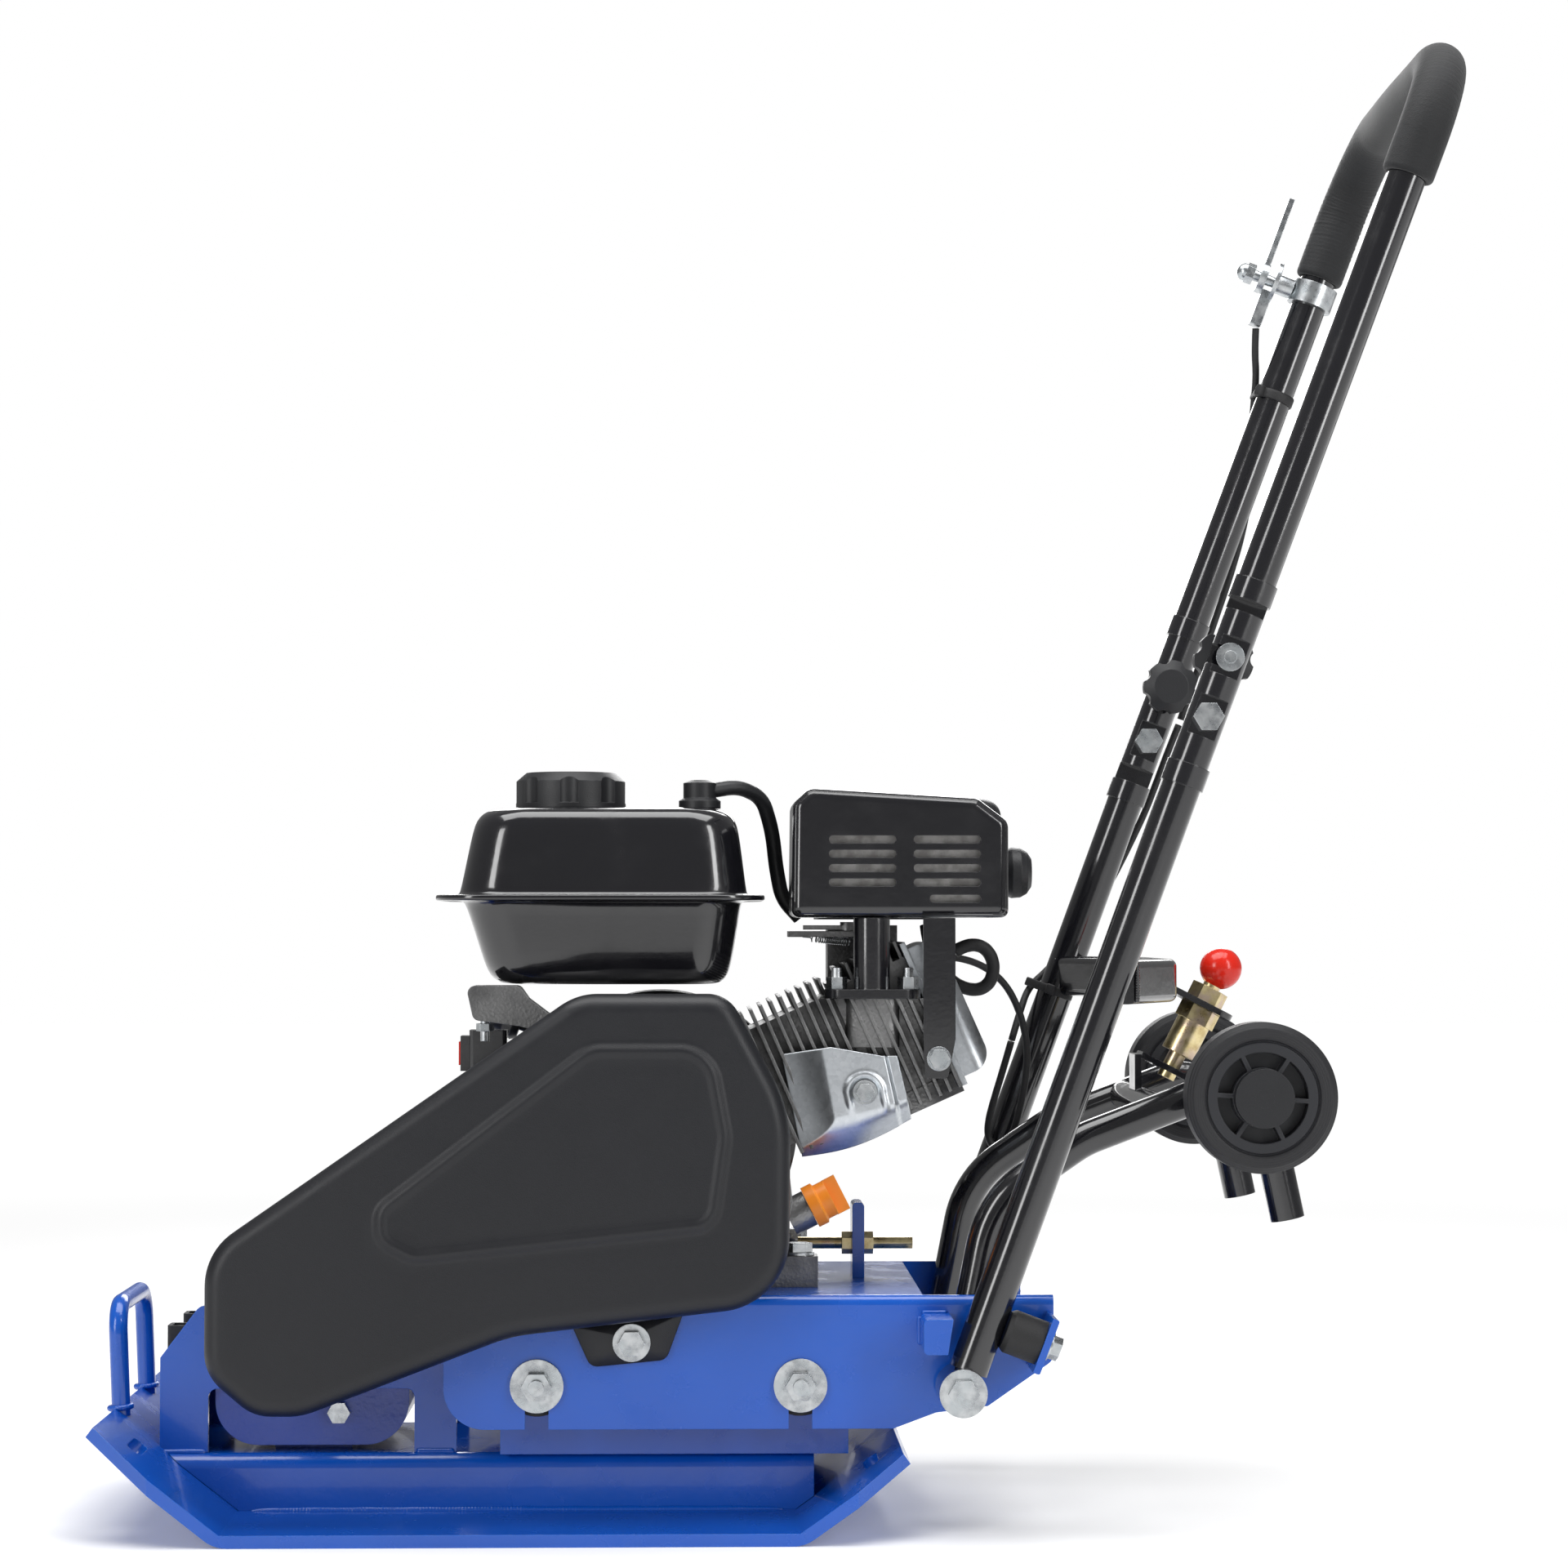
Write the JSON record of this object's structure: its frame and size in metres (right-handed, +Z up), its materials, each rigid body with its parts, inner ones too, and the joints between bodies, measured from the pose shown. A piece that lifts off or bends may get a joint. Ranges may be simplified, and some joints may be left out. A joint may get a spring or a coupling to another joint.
{
  "type": "plate compactor",
  "caption": "Walk-behind vibratory plate compactor with petrol engine, belt guard, folding handle and swing-down transport wheels.",
  "frame": {"origin": "middle of the flat sole, in the ground plane", "axes": "+X to the rear where the operator stands, +Y away from the belt-guard side, +Z up"},
  "size_m": [0.8809, 0.362, 0.9588],
  "materials": {
    "blue_paint": "gloss royal blue enamel",
    "black_paint": "gloss black enamel",
    "guard_plastic": "satin moulded black",
    "black_plastic": "moulded black",
    "rubber": "matte black rubber",
    "foam": "soft black foam",
    "zinc": "bright zinc plate",
    "yellow_zinc": "yellow passivated zinc",
    "steel": "machined steel",
    "cast_alu": "die-cast aluminium",
    "galvanised": "galvanised sheet",
    "cast_iron_blue": "dark blue over cast iron",
    "red_plastic": "gloss red",
    "orange_plastic": "orange",
    "wheel_plastic": "solid moulded black wheel"
  },
  "bodies": {
    "machine": {"base_plate": "blue_paint", "plate_stiffener": "blue_paint", "lifting_loop": "blue_paint", "exciter_bracket": "blue_paint", "front_posts": "black_plastic", "exciter_housing": "cast_iron_blue", "exciter_bearings": "steel", "drive_belt": "rubber", "mount_rails": "blue_paint", "rubber_mounts": "rubber", "engine_deck": "blue_paint", "deck_brackets": "blue_paint", "deck_fasteners": "zinc", "tension_rod": "yellow_zinc", "belt_guard": "guard_plastic", "guard_back_plate": "black_paint", "crankcase": "cast_alu", "cylinder_block": "cast_alu", "valve_cover": "galvanised", "spark_plug_cap": "black_plastic", "fuel_tank": "black_paint", "vapour_valve": "black_plastic", "tank_bracket": "cast_alu", "engine_fasteners": "zinc", "muffler_can": "steel", "muffler_guard": "black_paint", "exhaust_pipe": "black_paint", "heat_shroud": "galvanised", "carburettor": "cast_alu", "air_cleaner": "black_plastic", "recoil_housing": "black_paint", "pivot_shaft": "zinc", "throttle_cable_loop": "rubber"},
    "exciter_rotor": {"exciter_shaft": "steel"},
    "crank": {"crankshaft": "steel"},
    "clutch": {"clutch_drum": "steel"},
    "fuel_cap": {"fuel_cap": "black_plastic"},
    "cleaner_knob": {"air_cleaner_knob": "black_plastic"},
    "dipstick": {"oil_dipstick": "orange_plastic"},
    "starter_handle": {"recoil_handle": "black_plastic"},
    "stop_switch": {"stop_switch_rocker": "red_plastic"},
    "lower_handle": {"lower_handle_tubes": "black_paint", "handle_cross_tube": "black_paint", "fold_bolts": "zinc", "plunger_body": "yellow_zinc", "throttle_cable_lower": "rubber"},
    "upper_handle": {"upper_handle_hoop": "black_paint", "foam_grip": "foam", "fold_knob_pins": "zinc", "throttle_clamp": "zinc", "throttle_cable_upper": "rubber"},
    "knob_near": {"fold_knob_near": "black_plastic"},
    "knob_far": {"fold_knob_far": "black_plastic"},
    "throttle_lever": {"throttle_lever": "zinc"},
    "wheel_frame": {"wheel_frame": "black_paint", "wheel_axle": "black_plastic"},
    "near_wheel": {"wheel_near": "wheel_plastic"},
    "far_wheel": {"wheel_far": "wheel_plastic"},
    "plunger": {"plunger_ball": "red_plastic", "plunger_pin": "yellow_zinc"}
  },
  "joints": [
    {"name": "exciter_spin", "type": "hinge", "parent": "machine", "child": "exciter_rotor", "pos_m": [-0.127, 0, 0.119], "axis": [0, 1, 0], "continuous": true},
    {"name": "crank_spin", "type": "hinge", "parent": "machine", "child": "crank", "pos_m": [0.099, 0, 0.245], "axis": [0, 1, 0], "continuous": true},
    {"name": "clutch_spin", "type": "hinge", "parent": "machine", "child": "clutch", "pos_m": [0.099, -0.146, 0.245], "axis": [0, 1, 0], "continuous": true},
    {"name": "fuel_cap_turn", "type": "hinge", "parent": "machine", "child": "fuel_cap", "pos_m": [0.039, 0.02, 0.47], "axis": [0, 0, 1], "range_deg": [0, 90]},
    {"name": "cleaner_knob_turn", "type": "hinge", "parent": "machine", "child": "cleaner_knob", "pos_m": [0.34, 0.06, 0.42], "axis": [1, 0, 0], "continuous": true},
    {"name": "dipstick_turn", "type": "hinge", "parent": "machine", "child": "dipstick", "pos_m": [0.184, -0.074, 0.194], "axis": [0.891, 0, 0.454], "continuous": true},
    {"name": "starter_pull", "type": "slide", "parent": "machine", "child": "starter_handle", "axis": [-0.9404, 0, 0.3401], "range_m": [0, 0.09], "stiffness_N_per_m": 40, "springref_m": -0.05},
    {"name": "stop_switch_press", "type": "hinge", "parent": "machine", "child": "stop_switch", "pos_m": [-0.0356, 0.079, 0.296], "axis": [0, 1, 0], "range_deg": [0, 8]},
    {"name": "handle_tilt", "type": "hinge", "parent": "machine", "child": "lower_handle", "pos_m": [0.29, 0, 0.093], "axis": [0, 1, 0], "range_deg": [-10, 0]},
    {"name": "handle_fold", "type": "hinge", "parent": "lower_handle", "child": "upper_handle", "pos_m": [0.4455, 0, 0.515], "axis": [0, 1, 0], "range_deg": [-108, 0]},
    {"name": "knob_near_turn", "type": "hinge", "parent": "upper_handle", "child": "knob_near", "pos_m": [0.45968, -0.14, 0.55272], "axis": [0, 1, 0], "continuous": true},
    {"name": "knob_far_turn", "type": "hinge", "parent": "upper_handle", "child": "knob_far", "pos_m": [0.45968, 0.14, 0.55272], "axis": [0, 1, 0], "continuous": true},
    {"name": "throttle_turn", "type": "hinge", "parent": "upper_handle", "child": "throttle_lever", "pos_m": [0.53213, 0.155, 0.8478], "axis": [-0.9361, 0, 0.3518], "range_deg": [-60, 0]},
    {"name": "wheel_frame_swing", "type": "hinge", "parent": "lower_handle", "child": "wheel_frame", "pos_m": [0.29, 0, 0.093], "axis": [0, 1, 0], "range_deg": [0, 182]},
    {"name": "near_wheel_spin", "type": "hinge", "parent": "wheel_frame", "child": "near_wheel", "pos_m": [0.478, -0.16, 0.276], "axis": [0, 1, 0], "continuous": true},
    {"name": "far_wheel_spin", "type": "hinge", "parent": "wheel_frame", "child": "far_wheel", "pos_m": [0.478, 0.16, 0.276], "axis": [0, 1, 0], "continuous": true},
    {"name": "plunger_pull", "type": "slide", "parent": "lower_handle", "child": "plunger", "axis": [0.4571, 0, 0.8894], "range_m": [0, 0.009], "stiffness_N_per_m": 1500, "springref_m": -0.01}
  ],
  "couplings": [
    {"joint": "clutch_spin", "follows": "crank_spin", "ratio": 1},
    {"joint": "exciter_spin", "follows": "crank_spin", "ratio": 1.25}
  ]
}
